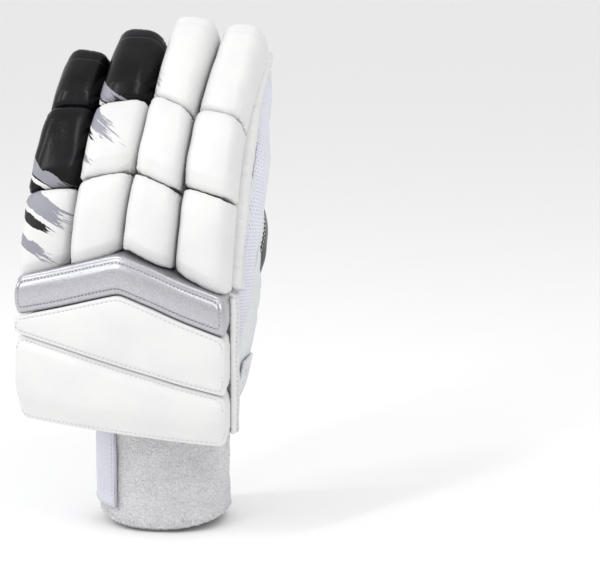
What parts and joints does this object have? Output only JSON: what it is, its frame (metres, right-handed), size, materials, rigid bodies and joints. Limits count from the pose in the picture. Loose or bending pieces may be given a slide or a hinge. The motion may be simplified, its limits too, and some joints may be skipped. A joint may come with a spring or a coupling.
{
  "type": "cricket batting glove",
  "caption": "Left-hand cricket batting glove with padded finger rolls, a chevron knuckle bar, a two-part cuff, a padded thumb and a towelling wrist band.",
  "frame": {"origin": "middle of the wrist opening, at the band's rim", "axes": "+X to the thumb side, +Y to the palm side, +Z along the wrist towards the fingertips; -Y is the back of the hand"},
  "size_m": [0.1286, 0.1861, 0.2781],
  "materials": {
    "white_leather": "satin coated leather",
    "palm_leather": "soft matt leather",
    "black_leather": "satin coated leather",
    "silver_leather": "metallic crinkled leather",
    "grey_leather": "matt leather",
    "strap_leather": "satin coated leather",
    "towelling": "looped towelling",
    "knit": "fine ribbed knit"
  },
  "bodies": {
    "root": {"wrist_band": "towelling", "wrist_strap": "strap_leather", "palm_shell": "palm_leather", "thumb_sleeve": "palm_leather", "thumb_gusset": "knit", "palm_vent": "knit", "side_knit": "knit", "back_panel": "white_leather", "cuff_binding": "white_leather", "knuckle_bar": "silver_leather", "cuff_upper": "white_leather", "cuff_lower": "white_leather", "thumb_welt": "white_leather", "thumb_pad_base": "white_leather", "thumb_pad_tip": "black_leather", "thumb_tab": "grey_leather", "sleeve_index": "palm_leather", "strip_index": "white_leather", "roll_index_knuckle": "white_leather", "roll_index_middle": "white_leather", "roll_index_tip": "white_leather", "sleeve_middle": "palm_leather", "strip_middle": "white_leather", "roll_middle_knuckle": "white_leather", "roll_middle_middle": "white_leather", "roll_middle_tip": "white_leather", "sleeve_ring": "palm_leather", "strip_ring": "white_leather", "roll_ring_knuckle": "white_leather", "roll_ring_middle": "white_leather", "roll_ring_tip": "black_leather", "sleeve_little": "palm_leather", "strip_little": "white_leather", "roll_little_knuckle": "white_leather", "roll_little_middle": "black_leather", "roll_little_tip": "black_leather"}
  },
  "joints": []
}
